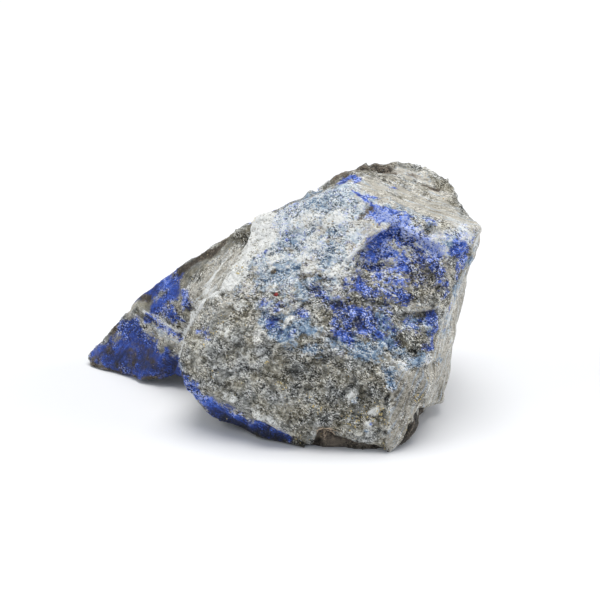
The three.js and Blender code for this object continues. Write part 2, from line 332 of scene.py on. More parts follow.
# %% Lazurite strokes
royal_strokes = [
    # the low step of the tail
    (13, 1.0, (112, 353), (130, 352), (150, 360), (168, 366)),
    (9, 0.8, (94, 357), (108, 352)),
    (11, 1.0, (126, 332), (138, 342), (152, 350)),
    (8, 1.0, (100, 362), (125, 368), (150, 374), (172, 373)),
    (6, 0.8, (124, 326), (136, 324)),
    # the high step of the tail
    (9, 0.8, (148, 291), (162, 285), (176, 276)),
    (10, 0.85, (158, 303), (166, 300), (176, 292)),
    (8, 0.9, (164, 310), (174, 318)),
    (6, 0.6, (184, 292), (186, 306)),
    # the slanting edge at the bottom left
    (5, 0.8, (179, 374), (182, 382), (187, 393)),
    (7, 0.9, (182, 382), (190, 393), (200, 400), (212, 406)),
    (4, 0.35, (190, 378), (198, 386)),
    (11, 1.0, (216, 412), (228, 417), (246, 424)),
    (10, 0.95, (244, 424), (262, 431), (276, 437)),
    (5, 0.8, (276, 436), (288, 441)),
    # broad blue of the scar under the top ridge
    (8, 1.0, (378, 212), (392, 217), (406, 223)),
    (7, 0.74, (404, 223), (416, 232), (430, 243), (440, 250)),
    (13, 0.55, (384, 246), (394, 242), (412, 248), (426, 258)),
    (13, 0.46, (370, 264), (390, 268), (410, 276), (430, 270)),
    (11, 0.56, (358, 286), (378, 290), (400, 294)),
    (11, 0.5, (338, 300), (358, 304), (380, 312)),
    (10, 0.66, (344, 318), (360, 322), (376, 328)),
    (8, 0.45, (378, 332), (394, 338)),
    (8, 0.6, (412, 322), (424, 326), (432, 318)),
    (4, 0.8, (430, 314), (436, 320), (432, 338)),
    (8, 0.38, (444, 237), (456, 236), (468, 238)),
    (6, 0.9, (454, 246), (462, 252), (464, 260)),
    (4, 0.9, (458, 266), (457, 276)),
    (6, 0.6, (440, 274), (443, 296)),
    # its strongest knots
    (7, 0.9, (378, 248), (387, 239), (398, 235), (410, 242)),
    (6, 0.9, (375, 256), (382, 253), (391, 254)),
    (6, 0.8, (402, 264), (410, 270)),
    (6, 0.8, (376, 276), (388, 278), (398, 284)),
    (5, 0.9, (360, 285), (368, 290), (376, 294)),
    (5, 0.8, (398, 294), (408, 297)),
    (6, 0.8, (426, 260), (432, 266)),
    (4, 0.9, (430, 246), (440, 253)),
    (3.5, 1.0, (454, 247), (463, 244), (467, 252), (463, 260)),
    (7, 0.95, (348, 313), (358, 309), (366, 316)),
    (5, 0.95, (337, 321), (341, 330)),
    (4.5, 0.95, (346, 333), (350, 339)),
    (3, 0.8, (424, 347), (433, 346)),
    # thin blue layers along the top ridge
    (1.8, 0.9, (352, 190), (360, 196), (371, 203)),
    (2.4, 0.8, (372, 204), (386, 209), (400, 211), (412, 215)),
    (3.2, 0.7, (424, 217), (436, 222)),
    (2.5, 0.6, (390, 187), (396, 188)),
    (5, 1.0, (342, 182), (348, 177), (354, 180)),
    (3, 0.45, (366, 196), (380, 199)),
    # a tinge on the band of the tail
    (4, 0.6, (146, 316), (164, 328), (180, 338)),
    # spots in the middle of the front
    (5, 0.55, (266, 318), (274, 324), (280, 332)),
    (4, 0.6, (286, 334), (294, 330)),
    (5, 0.6, (298, 312), (306, 316)),
    (6, 0.55, (314, 292), (323, 298), (334, 306)),
    (5, 0.5, (262, 304), (277, 309)),
    (4.5, 0.5, (203, 331), (208, 335)),
    # specks in the pale sheet
    (1.6, 0.7, (287, 232)),
    (1.6, 0.7, (287, 240)),
    (1.6, 0.7, (289, 246)),
    (2, 0.6, (262, 252), (266, 252)),
    # a speck near the foot
    (1.5, 0.5, (371, 424)),
]
royal = laid_on("royal blue", royal_strokes)

# %% [markdown]
# ## The pale sheet
#
# The upper front is a pale sheet of calcite and other light minerals, tinged with blue. Broad strokes
# that overlap give it, and smaller ones set pale spots further down.

# %% Pale strokes
pale_strokes = [
    # the pale sheet of the upper front
    (14, 0.95, (285, 214), (305, 204), (325, 195), (340, 192)),
    (19, 0.95, (278, 238), (300, 228), (325, 218), (350, 210)),
    (19, 0.9, (268, 260), (295, 252), (320, 245), (345, 236)),
    (14, 0.7, (256, 284), (280, 280), (310, 272), (338, 258)),
    (12, 0.55, (345, 205), (354, 218), (348, 240)),
    (12, 0.45, (262, 300), (285, 296), (310, 292)),
    (10, 0.7, (330, 262), (334, 280), (330, 292)),
    # spots further down
    (4, 0.8, (388, 370), (390, 388)),
    (6, 0.6, (400, 362), (416, 361), (432, 357)),
    (7, 0.75, (440, 240), (452, 236), (466, 230)),
    (4, 0.8, (180, 364), (182, 376)),
    (4, 0.4, (186, 384), (196, 393), (208, 400)),
    (3, 0.7, (419, 405), (425, 405)),
    (5, 0.5, (330, 340), (338, 350)),
    (8, 0.85, (386, 215), (402, 222), (418, 231), (432, 242)),
]
pale = laid_on("the pale sheet", pale_strokes)

# %% [markdown]
# ## Slate blue
#
# Where grains of lazurite are thinly mixed into the rock, it looks slate blue. Such hems lie around the
# royal blue and in the middle of the front, and tints of it cross the pale sheet.

# %% Slate blue strokes
steel_strokes = [
    # the middle of the front
    (8, 0.8, (268, 320), (280, 334), (294, 338)),
    (8, 0.8, (292, 324), (304, 326), (314, 334)),
    (6, 0.7, (282, 326), (292, 316)),
    (6, 0.6, (306, 348), (318, 352)),
    # the hem below the blue scar
    (9, 0.85, (346, 340), (360, 347), (374, 354)),
    (7, 0.65, (372, 338), (388, 344), (396, 350)),
    (4, 0.8, (388, 370), (390, 388)),
    (6, 0.6, (404, 362), (420, 361)),
    (8, 0.6, (380, 320), (392, 332)),
    (8, 0.6, (412, 322), (434, 326)),
    # tints in the pale sheet
    (5, 0.8, (288, 204), (304, 197), (320, 190)),
    (8, 0.7, (310, 206), (324, 210)),
    (7, 0.75, (280, 274), (292, 266), (300, 258)),
    (6, 0.7, (254, 286), (262, 278)),
    (5, 0.75, (334, 242), (338, 232)),
    (6, 0.65, (286, 236), (296, 246)),
    (7, 0.6, (322, 262), (334, 252)),
    (7, 0.45, (300, 296), (316, 286)),
    # the ridge, and the right knob
    (6, 0.5, (358, 194), (374, 203), (394, 208), (414, 214), (432, 220)),
    (8, 0.6, (440, 242), (456, 238), (472, 236)),
    # in two white spots
    (2.5, 0.8, (366, 430)),
    (2.2, 0.8, (355, 400)),
]
steel = laid_on("slate blue", steel_strokes)

# %% [markdown]
# ## White calcite
#
# Pure calcite is the lightest mineral. It makes a white edge down the left of the front, stains in the
# pale sheet, and thin streaks on the flank. A strength above one keeps the white edge full through its
# grainy border.

# %% White strokes
white_strokes = [
    # stains of white in the pale sheet
    (8, 0.6, (296, 222), (310, 216)),
    (8, 0.6, (322, 226), (336, 214)),
    (7, 0.6, (300, 256), (312, 250)),
    (7, 0.6, (272, 266), (280, 256)),
    (7, 0.6, (330, 276), (342, 264)),
    (8, 0.4, (350, 216), (360, 208)),
    (7, 0.4, (352, 240), (362, 232)),
    # the white edge on the left, and spots
    (9, 1.4, (266, 216), (260, 228), (266, 240)),
    (6, 1.1, (270, 244), (258, 248), (246, 254)),
    (8, 1.3, (243, 258), (236, 268), (230, 278)),
    (6, 0.9, (222, 284), (214, 292)),
    (5, 0.85, (202, 298), (198, 308), (193, 318)),
    (2.6, 1.0, (222, 287), (203, 303), (194, 318), (187, 330),
     (184, 342), (180, 354), (177, 361), (179, 369)),
    (3.4, 0.8, (190, 322), (186, 332), (183, 344)),
    (2.6, 0.9, (181, 352), (178, 362), (179, 372)),
    (6, 0.7, (246, 246), (250, 232)),
    (3.5, 0.8, (304, 270), (312, 268)),
    (6, 0.6, (308, 244), (316, 236)),
    (4, 0.7, (350, 397), (354, 395)),
    (5, 0.62, (366, 432), (370, 424)),
    (4, 0.5, (360, 436), (364, 438)),
    (3.5, 0.8, (240, 306), (243, 303)),
    (5, 0.7, (256, 338), (262, 334)),
    (5, 0.55, (224, 328), (230, 334)),
    (2.2, 0.9, (170, 357)),
    (1.8, 0.9, (156, 304)),
    (4, 0.35, (144, 313), (160, 322), (174, 332), (184, 339)),
    (1.6, 0.8, (144, 311), (162, 321), (184, 336)),
    (1.4, 0.7, (156, 324), (172, 334), (185, 344)),
    # streaks up the flank
    (1.8, 0.75, (216, 290), (226, 272), (238, 255)),
    (1.5, 0.65, (205, 292), (214, 276), (226, 260)),
    (1.4, 0.6, (200, 300), (206, 286), (212, 278)),
    (3, 0.7, (352, 256), (360, 250), (366, 246)),
    (2.6, 0.8, (284, 326), (292, 318)),
    (3, 0.6, (372, 412), (376, 410)),
    (4, 0.45, (216, 390), (245, 405), (264, 418), (280, 430), (293, 438)),
]
white = laid_on("white", white_strokes)

# %% [markdown]
# ## Tan film
#
# A thin tan film lies where the rock had split and weathered a little before it was broken: on the top,
# left of the scar, and on the flank.

# %% Tan strokes
tan_strokes = [
    # the top
    (12, 0.95, (352, 188), (372, 194), (392, 200), (410, 206)),
    (14, 0.9, (366, 184), (390, 186), (416, 194), (442, 206)),
    (10, 0.95, (412, 206), (432, 212), (455, 220), (474, 226)),
    # the film left of the scar
    (8, 0.95, (380, 222), (369, 236), (356, 251)),
    (8, 0.85, (370, 212), (360, 226), (350, 240)),
    # the back of the top
    (9, 0.85, (398, 172), (420, 178), (446, 196)),
    # spots within the scar
    (5, 0.7, (384, 262), (396, 260)),
    (4, 0.6, (406, 252), (411, 260)),
    (8, 0.6, (420, 275), (428, 285), (424, 298)),
    (6, 0.7, (412, 312), (426, 310)),
    (5, 0.7, (434, 226), (440, 240), (446, 250)),
    (5, 0.8, (446, 264), (448, 272)),
    # the left of the front
    (7, 0.5, (292, 226), (298, 236)),
    (7, 0.5, (330, 290), (345, 275)),
    (7, 0.45, (262, 322), (252, 316)),
    (8, 0.5, (300, 300), (290, 312)),
    (5, 0.5, (340, 345), (346, 352)),
    (10, 0.6, (208, 312), (224, 300), (240, 292)),
    # the flank and the tail
    (14, 0.8, (196, 300), (206, 282), (220, 266), (238, 250)),
    (6, 0.7, (152, 330), (164, 336), (176, 344)),
    (4.5, 0.7, (134, 302), (130, 312)),
]
tan = laid_on("tan film", tan_strokes)

# %% [markdown]
# ## Brown skin
#
# The oldest outside of the stone is a dark brown skin. It is left at the back of the top, along the upper
# edge of the flank, and as a weak dusky veil over the blue of the tail.

# %% Brown strokes
rind_strokes = [
    # the upper edge of the flank, and the back of the top
    (4.5, 1.0, (178, 271), (192, 263), (206, 255), (222, 244)),
    (6, 0.75, (338, 177), (354, 171), (370, 168), (388, 169)),
    (4, 0.9, (378, 167), (388, 171), (394, 174)),
    (3, 0.9, (371, 168)),
    (5, 0.5, (398, 172), (414, 177), (430, 181)),
    (2.5, 0.75, (422, 186), (440, 189)),
    (4, 0.45, (424, 179), (434, 182)),
    # painted shade: a weak veil of brown skin darkens the end of the slanting edge, in shade by the floor
    (5, 0.35, (270, 442), (282, 445), (292, 448)),
    # the tail, and cracks on the front
    (4.5, 0.7, (110, 336), (114, 330)),
    (4, 0.6, (142, 296), (150, 298)),
    (3.4, 0.6, (108, 345), (111, 346)),
    (15, 0.42, (96, 357), (128, 352), (150, 362), (170, 368)),
    (4, 0.5, (132, 350), (141, 353)),
    (3, 0.5, (112, 356), (116, 362)),
    (3, 0.5, (146, 360), (156, 367)),
    (3.5, 0.5, (172, 302), (178, 310)),
    (2.5, 0.8, (92, 366), (120, 375), (150, 381), (176, 380)),
    (1.8, 0.6, (272, 273), (275, 270)),
    (3.5, 0.5, (358, 220), (364, 214), (371, 206)),
]
rind = laid_on("brown skin", rind_strokes)

# %% [markdown]
# ## Faces marked off by an edge
#
# Four faces end at a clear edge: the narrow right side, the knee below it, and the brown skin of the knee
# and of the foot. A brush would blur such an edge. So each edge is a path in the picture, and the face is
# what lies on the right hand of one who walks along it.

# %% Right side, knee and brown skins
side_edge = [(424, 412), (426, 392), (429, 368), (435, 348), (441, 326)]
side_edge += [(446, 305), (454, 293), (464, 268), (474, 242)]
knee_edge = [(386, 450), (388, 420), (391, 395), (394, 372)]
slit_edge = [(392, 453), (396, 447), (402, 439), (406, 430), (411, 423), (417, 414), (420, 406)]
foot_edge = [(304, 448), (312, 444), (317, 434), (322, 430), (331, 428), (334, 434)]
foot_edge += [(345, 438), (353, 441), (362, 442), (376, 446), (390, 452)]


def right_of(*path):
    """Distance (picture units) of every point from a path in the picture, positive on the right hand of
    one who walks along it and negative on the left, by the cross product with the nearest straight run."""
    nearest = np.full(len(points), np.inf)
    signed = np.zeros(len(points))
    for (u0, v0), (u1, v1) in zip(path, path[1:]):
        du, dv = u1 - u0, v1 - v0
        along = np.clip(((columns - u0) * du + (rows - v0) * dv) / (du * du + dv * dv), 0, 1)
        gap = np.hypot(columns - u0 - along * du, rows - v0 - along * dv)
        cross = (du * (rows - v0) - dv * (columns - u0)) / math.hypot(du, dv)
        signed = np.where(gap < nearest, cross, signed)
        nearest = np.minimum(nearest, gap)
    return signed


def beyond(edge, softness):
    """0 on the left of a path in the picture and 1 on its right, with a border that ripples."""
    return fade(right_of(*edge) + softness * wander[:, 0], -softness, softness)


side_face = beyond(side_edge, 1.5)
knee_face = beyond(knee_edge, 1.5) * (1 - side_face) * fade(rows, 362, 372)
knee_skin = beyond(slit_edge, 1.0) * (1 - side_face) * fade(rows, 404, 409)
foot_skin = beyond(foot_edge, 0.8) * fade(columns, 304, 310) * (1 - fade(columns, 386, 391))
print("the right side takes in", round(100 * side_face.mean(), 1), "% of the points")

# %% [markdown]
# ## Minerals of these faces
#
# The right side and the knee are tan, so the blue and the pale minerals of the front end at the side's
# edge. Only a slate blue haze with one thin blue line in it is left along that edge.

# %% Lay minerals on the marked faces
rind = np.maximum(rind, 0.95 * np.maximum(knee_skin, foot_skin))
royal, pale, steel = (share * (1 - side_face) for share in (royal, pale, steel))
blue_line = (1.2, 0.36, (457, 288), (450, 306), (444, 330))
blue_haze = (6, 0.5, (472, 250), (464, 276), (453, 304), (445, 332), (441, 356))
royal = np.maximum(royal, brushed([blue_line]))
steel = np.maximum(steel, brushed([blue_haze]))
tan = np.maximum(tan, 0.95 * side_face + 0.75 * knee_face)
print("tan film now covers", round(100 * (tan > 0.5).mean(), 1), "% of the points")

# %% [markdown]
# ## Streaks
#
# On the right side, on the left flank and on the top the rock is torn along its layers, so its grains are
# drawn out into streaks. They run from a stroke's first spot to its last. Coordinates that are squeezed
# along that course make a noise long and thin, and the material can read them from the stone.

# %% Streaks
SQUEEZE = 0.93
STREAK_WANDER = 0.35
streak_strokes = [
    # up the left flank
    (12, 1.0, (204, 300), (214, 282), (226, 264), (240, 246)),
    (8, 0.9, (188, 300), (196, 284), (206, 270)),
    # along the top
    (17, 0.55, (360, 182), (395, 190), (430, 204), (465, 220)),
    # on the film left of the scar, and softly up the tail
    (9, 0.7, (380, 224), (368, 237), (354, 251)),
    (15, 0.3, (112, 362), (126, 346), (140, 330)),
    # along the slanting blue edge
    (9, 0.3, (206, 402), (226, 414), (250, 424), (288, 441)),
    # across the band between the steps of the tail
    (7, 1.0, (142, 312), (160, 324), (182, 338)),
]
streaked = [(brushed([stroke]), stroke[2], stroke[-1]) for stroke in streak_strokes]
streaked += [(side_face, (435, 385), (466, 262)), (0.6 * knee_face, (424, 384), (394, 446))]
streak = np.zeros(len(points))
drawn_out = points.copy()
for share, start, end in streaked:
    course = on_stone(*end) - on_stone(*start)
    course = course / np.linalg.norm(course)
    squeezed = points - SQUEEZE * (points @ course)[:, None] * course + STREAK_WANDER * wander
    drawn_out = np.where((share > streak)[:, None], squeezed, drawn_out)
    streak = np.maximum(streak, share)
print("streaks cover", round(100 * (streak > 0.5).mean(), 1), "% of the points")

# %% [markdown]
# ## Painted light and shade, and calmer zones
#
# Light and shade are painted into the colour here. Painted shade darkens the tone of all the grains in
# hollows, slits, under overhangs and on faces turned away from the lamps, and painted light lightens it on
# faces turned up to the top lamp. In a few zones the same strokes give rock that is really darker or
# paler.
# Even strokes calm the grains and the relief, as on the smooth blue of the tail.

# %% Painted shade
# painted shade: darker tone in hollows, slits, under overhangs and on faces turned away from the lamps; on
# the tail, darker rock
painted_shade_and_darker_rock_strokes = [
    (9, 1.4, (402, 346), (414, 350), (424, 348)),
    (9, 1.0, (416, 272), (430, 282), (422, 298)),
    (8, 0.5, (402, 304), (418, 306)),
    (6, 0.7, (302, 281), (318, 282)),
    (14, 0.5, (326, 370), (350, 374), (376, 388)),
    (12, 0.2, (270, 366), (290, 376)),
    (9, 1.8, (218, 422), (246, 433), (268, 440), (292, 447)),
    (16, 0.8, (112, 356), (130, 352), (150, 362), (170, 368)),
    (10, 0.5, (126, 330), (142, 342)),
    (9, 0.4, (150, 296), (164, 290), (178, 282)),
    (12, 0.4, (262, 286), (290, 284), (316, 280)),
    (12, 0.2, (344, 318), (366, 330), (390, 336)),
    (8, 0.5, (382, 324), (394, 336)),
    (12, 0.3, (358, 294), (396, 298)),
    (12, 0.5, (336, 398), (366, 408)),
    (8, 0.5, (142, 292), (156, 286)),
    (5, 0.5, (392, 236), (402, 238)),
    (8, 0.5, (360, 378), (384, 396)),
    (5, 0.8, (438, 380), (440, 395)),
    (6, 0.5, (230, 246), (242, 240)),
    (6, 0.5, (226, 350), (206, 352)),
    (12, 0.3, (302, 420), (336, 424)),
    # painted shade in the slits of the knee, and under the overhang of the foot
    (1.8, 1.8, (420, 410), (418, 420)),
    (1.6, 1.8, (409, 425), (404, 437)),
    (3, 1.3, (330, 429), (334, 434)),
    (1.2, 1.3, (334, 434), (345, 438), (353, 441), (362, 442), (376, 446)),
    (2.5, 1.0, (312, 450), (345, 452), (388, 453)),
    (4, 0.6, (203, 331), (208, 335)),
]
painted_shade_and_darker_rock = laid_on("painted_shade_and_darker_rock", painted_shade_and_darker_rock_strokes)

# %% Painted light
# painted light: lighter tone on faces turned up to the top lamp, such as the scar's roof, the right knob
# and the white edge; at the foot, paler skin
painted_light_and_paler_rock_strokes = [
    (6, 1.0, (320, 438), (340, 443), (366, 447)),
    (8, 1.9, (380, 213), (392, 217), (404, 222), (416, 231), (430, 242), (440, 249)),
    (4, 0.8, (356, 193), (372, 203), (392, 208), (412, 213)),
    (8, 1.4, (442, 236), (456, 236), (470, 238)),
    (7, 0.6, (404, 362), (432, 360)),
    (8, 0.7, (450, 340), (457, 306)),
    (10, 1.1, (258, 238), (266, 222)),
    (4, 0.9, (432, 229), (434, 236)),
    (14, 0.5, (382, 246), (396, 262), (410, 280)),
    (9, 0.5, (380, 224), (369, 237), (356, 251)),
    (10, 0.5, (398, 172), (420, 178), (446, 196)),
    (12, 0.8, (204, 296), (214, 280), (228, 262)),
    (16, 0.6, (204, 346), (222, 346), (250, 356)),
    (16, 0.5, (260, 392), (290, 402), (310, 420)),
    (6, 0.6, (250, 224), (266, 216)),
    (4, 0.6, (430, 222), (452, 226), (476, 230)),
    (8, 0.4, (440, 238), (468, 236)),
    (4, 0.9, (192, 320), (186, 334), (183, 346), (177, 362)),
    (6, 0.5, (181, 378), (190, 393), (200, 399), (212, 404)),
    (1.8, 0.8, (394, 374), (391, 396), (388, 430)),
]
painted_light_and_paler_rock = laid_on("painted_light_and_paler_rock", painted_light_and_paler_rock_strokes)

# %% Calm zones
even_strokes = [
    (16, 1.0, (98, 358), (126, 350), (150, 360), (172, 368)),
    (14, 0.9, (136, 306), (158, 296), (180, 286)),
    (12, 0.8, (216, 413), (244, 425), (284, 441)),
    (14, 0.5, (356, 186), (392, 192), (430, 206), (466, 220)),
    (12, 0.25, (204, 300), (216, 280), (236, 252)),
    (8, 0.8, (182, 272), (204, 260), (226, 246)),
    (9, 0.6, (380, 224), (369, 237), (356, 251)),
    (10, 0.6, (398, 172), (420, 178), (446, 196)),
    (7, 0.6, (318, 440), (346, 446), (376, 449)),
]
# painted light and shade of the strokes as one tone shift; the knee is also set much darker and the right
# side a little
shade = painted_light_and_paler_rock - painted_shade_and_darker_rock - 0.8 * knee_face - 0.2 * side_face
even = np.maximum(laid_on("calm", even_strokes), 0.3 * side_face + 0.3 * knee_face)

# %% [markdown]
# ## The sides that the picture doesn't show
#
# The back and the base follow the same rock: beds of tan, white and grey, blue where a bed of lazurite
# comes out, and brown skin. No stroke is drawn there, so large ripples decide. For the beds the ripples
# are read in squeezed and tilted coordinates, so that they are longer than they are high.

# %% Hidden sides
BED_SQUEEZE = np.diag([0.5, 0.7, 1.0])
BED_DIP = np.array([0, 0, 0.22])
to_eye = 1000 * np.array(eye) - points
to_eye = to_eye / np.linalg.norm(to_eye, axis=1, keepdims=True)
turned = (facing(points) * to_eye).sum(1)
hidden = (1 - fade(turned, -0.35, 0.0)) * (1 - side_face)
beds = points @ BED_SQUEEZE + points[:, [0]] * BED_DIP + 1.2 * wander
royal = np.maximum(royal, 0.9 * hidden * fade(layered(beds, 12, 500), 0.02, 0.3))
tan = np.maximum(tan, 0.75 * hidden * fade(layered(beds, 8, 510), -0.1, 0.4))
rind = np.maximum(rind, hidden * fade(layered(points + 2.5 * wander, 15, 520), 0.05, 0.4))
white = np.maximum(white, 0.8 * hidden * fade(layered(beds, 5, 530), 0.25, 0.5))
print("hidden points:", round(100 * hidden.mean(), 1), "%")

# %% [markdown]
# ## Ledges and grooves
#
# The rock breaks in steps. Some of them are seen clearly, so they are drawn as paths too: on the right
# hand side of a path, as one walks along it in the picture, the skin drops at once and comes back to its
# old height a few millimetres away. A groove drops on both sides. Swells are soft strokes that lift or
# lower a rim by a millimetre or so, where the outline needs a little more or less stone.

# %% Drop the skin beside a path
EDGE_WANDER = 0.5


def drop_beside(depth, width, *path, both=False):
    """Depth (mm) by which each point drops: all of it just right of the path (or on it, for a groove),
    and nothing at `width` mm from the path. Right is told by the sign of the cross product in the
    picture."""
    spots = np.array([on_stone(*spot) for spot in path])
    moved = points + EDGE_WANDER * wander
    nearest = np.full(len(points), np.inf)
    right = np.zeros(len(points))
    for k in range(len(path) - 1):
        run = spots[k + 1] - spots[k]
        along = np.clip((moved - spots[k]) @ run / (run @ run), 0, 1)
        gap = np.linalg.norm(moved - spots[k] - along[:, None] * run, axis=1)
        (u0, v0), (u1, v1) = path[k], path[k + 1]
        cross = (u1 - u0) * (rows - v0) - (v1 - v0) * (columns - u0)
        side = UNIT * cross / math.hypot(u1 - u0, v1 - v0)
        right = np.where(gap < nearest, side, right)
        nearest = np.minimum(nearest, gap)
    step = 1.0 if both else fade(right + EDGE_WANDER * wander[:, 0], -0.15, 0.3)
    return depth * step * (1 - fade(nearest, 0.0 if both else 0.15 * width, width))


print("a path's edge wanders by up to", round(EDGE_WANDER * np.abs(wander).max(), 1), "mm")

# %% Ledges, grooves and swells
# ledges and grooves: depth and width in mm, then the path
ledge_paths = [
    # the brown skin at the foot
    (0.8, 3.0, (304, 448), (312, 444), (317, 434), (322, 430), (331, 428),
     (334, 434), (353, 441), (376, 446), (390, 452)),
    # the edge above the slanting blue face
    (0.7, 4.0, (180, 376), (198, 388), (215, 397), (250, 416), (300, 440)),
    # the left edge of the block, which stands in front of the flank and the tail
    (1.0, 4.0, (252, 226), (242, 258), (222, 287), (201, 302), (190, 322), (184, 345), (177, 366)),
    # the band between the steps of the tail
    (0.3, 3.5, (138, 308), (160, 323), (184, 339)),
    # the step under the right side
    (1.2, 4.0, (424, 409), (432, 405), (442, 402)),
    # the roof over the blue scar
    (0.5, 3.0, (350, 258), (366, 246), (380, 234), (392, 226)),
    (0.5, 3.0, (395, 226), (412, 238), (440, 252)),
    # steps on the front
    (0.5, 2.5, (298, 273), (312, 272), (324, 276)),
    (0.45, 2.5, (262, 312), (276, 316), (290, 312), (300, 304)),
    (0.5, 3.0, (332, 300), (346, 300), (362, 296), (380, 300)),
    (0.5, 2.5, (330, 336), (344, 342), (356, 340)),
    (0.4, 3.0, (240, 342), (270, 348), (300, 344), (326, 340)),
    (0.5, 3.0, (352, 352), (372, 362), (392, 372)),
    (0.6, 2.5, (404, 314), (420, 312), (440, 308)),
    (0.5, 2.5, (404, 356), (418, 366), (434, 362)),
    (0.4, 2.0, (228, 372), (246, 366), (262, 372)),
    (0.4, 2.0, (300, 388), (322, 384), (340, 390)),
    (0.4, 2.0, (360, 262), (374, 266), (390, 262)),
]
groove_paths = [
    # cracks on the film and on the top, the slits of the knee, and a pit
    (0.25, 0.7, (371, 206), (364, 214), (357, 222)),
    (0.2, 0.8, (424, 186), (440, 189)),
    (0.7, 0.8, (420, 410), (418, 420)),
    (0.6, 0.7, (409, 425), (404, 437)),
    (0.5, 1.6, (446, 264), (448, 272)),
]
# swells: a brush's width, and the height in mm in place of the strength, below zero for a dip
swell_strokes = [
    (6, 0.9, (377, 165), (390, 165)),
    (5, 0.6, (336, 176), (344, 172)),
    (5, -1.3, (323, 181)),
    (5, 0.6, (310, 193)),
    (7, -0.5, (278, 206), (302, 197)),
    (7, 0.55, (262, 217), (250, 222), (242, 226)),
    (10, 0.5, (454, 335), (459, 310), (463, 288)),
    (5, 0.6, (473, 256)),
    (5, 0.5, (479, 227)),
    (8, 0.35, (458, 203), (464, 211)),
    (8, 0.4, (428, 169), (444, 179)),
    (5, 0.8, (441, 398)),
]
drop = np.zeros(len(points))
for path in ledge_paths:
    drop = np.maximum(drop, drop_beside(*path))
for path in groove_paths:
    drop = np.maximum(drop, drop_beside(*path, both=True))
swollen = brushed([stroke for stroke in swell_strokes if stroke[1] > 0])
sunken = brushed([(width, -height, *path) for width, height, *path in swell_strokes if height < 0])
drop = drop + sunken - swollen
print("deepest drop:", round(drop.max(), 2), "mm")

# %% [markdown]
# ## Relief
#
# Three sizes of breakage lie on each other: chips of about 5 mm, chips of about 2 mm, and grains of
# about a millimetre. The coordinates are shaken by ripples first, because straight ledges would look cut.
# Films and streaked faces are calmer, and so is the rim on the upper left, which the eye sees edge-on as
# a smooth outline.

# %% Calm faces
CALMEST = 0.95
shaken = points + three_ripples(points, 0.35, 1.6, 40)
calm = np.clip(0.35 * tan + 0.3 * streak + 0.95 * even + 0.2 * pale, 0, CALMEST)
smooth_rim = (1 - fade(np.abs(turned), 0.2, 0.5)) * (1 - fade(columns, 335, 355))
smooth_rim = relax(smooth_rim[:, None], 6)[:, 0]
calm = np.maximum(calm, 0.9 * smooth_rim)
print("mean calm:", round(calm.mean(), 2))

# %% [markdown]
# ## Push the skin in and out
#
# The chips, the fine grooves of the streaks and the ledges add up to one height for each point, and the
# sides that the picture doesn't show get larger facets of about 10 and 4 mm too. Each point moves by its
# height along its normal. How far it stands above its surroundings is kept for painted light and shade:
# the material makes the tops of the relief lighter and its hollows darker. The base stays flat, so that
# the stone stands as its solid.

# %% Relief
CREST = 0.07
CREST_ROUNDS = 8
lift = (1 - calm) * (0.45 * chips(shaken, 5.2, 100) + 0.36 * chips(shaken, 2.3, 200))
lift = lift + (1 - 0.9 * calm) * 0.24 * chips(points, 1.1, 250)
lift = lift + 0.16 * streak * layered(drawn_out, 1.4, 300) - drop
facets = 1.2 * chips(shaken + wander, 10.0, 400) + 0.5 * chips(shaken, 4.0, 410)
lift = lift + hidden * (1 - 0.7 * smooth_rim) * facets
# painted light and shade: height above the smoothed surroundings, made lighter on tops and darker in
# hollows
painted_relief_light_and_shade = np.clip((lift - relax(lift[:, None], CREST_ROUNDS)[:, 0]) / CREST, -1.5, 1.5)
points = points + above_base * lift[:, None] * facing(points)
points[:, 2] = np.maximum(points[:, 2], 0)
print("relief from", round(lift.min(), 2), "to", round(lift.max(), 2), "mm")

# %% [markdown]
# ## The finished stone as one object
#
# The arrays go into a mesh in one step each, together with the shares as named attributes that the
# material can read. The new stone stands for the plain solid, which stays in the model for physics.

# %% Build the stone
mesh = bpy.data.meshes.new("lazurite")
mesh.from_pydata((points / 1000).tolist(), [], faces.tolist())
mesh.polygons.foreach_set("use_smooth", np.ones(len(faces), dtype=bool))
# the minerals' shares, with the painted light and shade of the strokes and of the relief
for name, share in (
    ("royal", royal),
    ("pale", pale),
    ("steel", steel),
    ("white", white),
    ("tan", tan),
    ("rind", rind),
    ("streak", streak),
    ("shade", shade),
    ("even", even),
    ("painted_relief_light_and_shade", painted_relief_light_and_shade),
):
    mesh.attributes.new(name, "FLOAT", "POINT").data.foreach_set("value", share.astype(np.float32))
courses = mesh.attributes.new("drawn_out", "FLOAT_VECTOR", "POINT")
courses.data.foreach_set("vector", drawn_out.astype(np.float32).ravel())
stone = bpy.data.objects.new("lazurite", mesh)
bpy.context.scene.collection.objects.link(stone)
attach(stone, "root")
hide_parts("lazurite_stone")
print("triangles:", 2 * len(faces))

# %% [markdown]
# ## A material made of grains
#
# Seen close, the rock is a mosaic of grains less than half a millimetre wide, each of one mineral. An
# image could show it, but a mosaic made of nodes stays sharp at any distance. A node tree of this size
# would be long to write out, so a few helpers each make one kind of node.

# %% Helpers for nodes
rock = bpy.data.materials.new("lazurite rock")
rock.use_nodes = True
tree = rock.node_tree
tree.nodes.clear()


def make(kind, inputs=(), **settings):
    """A node with its settings, its inputs given as (name or number, value or socket) pairs."""
    made = tree.nodes.new(kind)
    for name, value in settings.items():
        setattr(made, name, value)
    for key, value in inputs:
        if isinstance(value, bpy.types.NodeSocket):
            tree.links.new(value, made.inputs[key])
        else:
            made.inputs[key].default_value = value
    return made


def maths(operation, a, b=0.0, c=0.0):
    """The result of one sum on single numbers."""
    return make("ShaderNodeMath", ((0, a), (1, b), (2, c)), operation=operation).outputs[0]


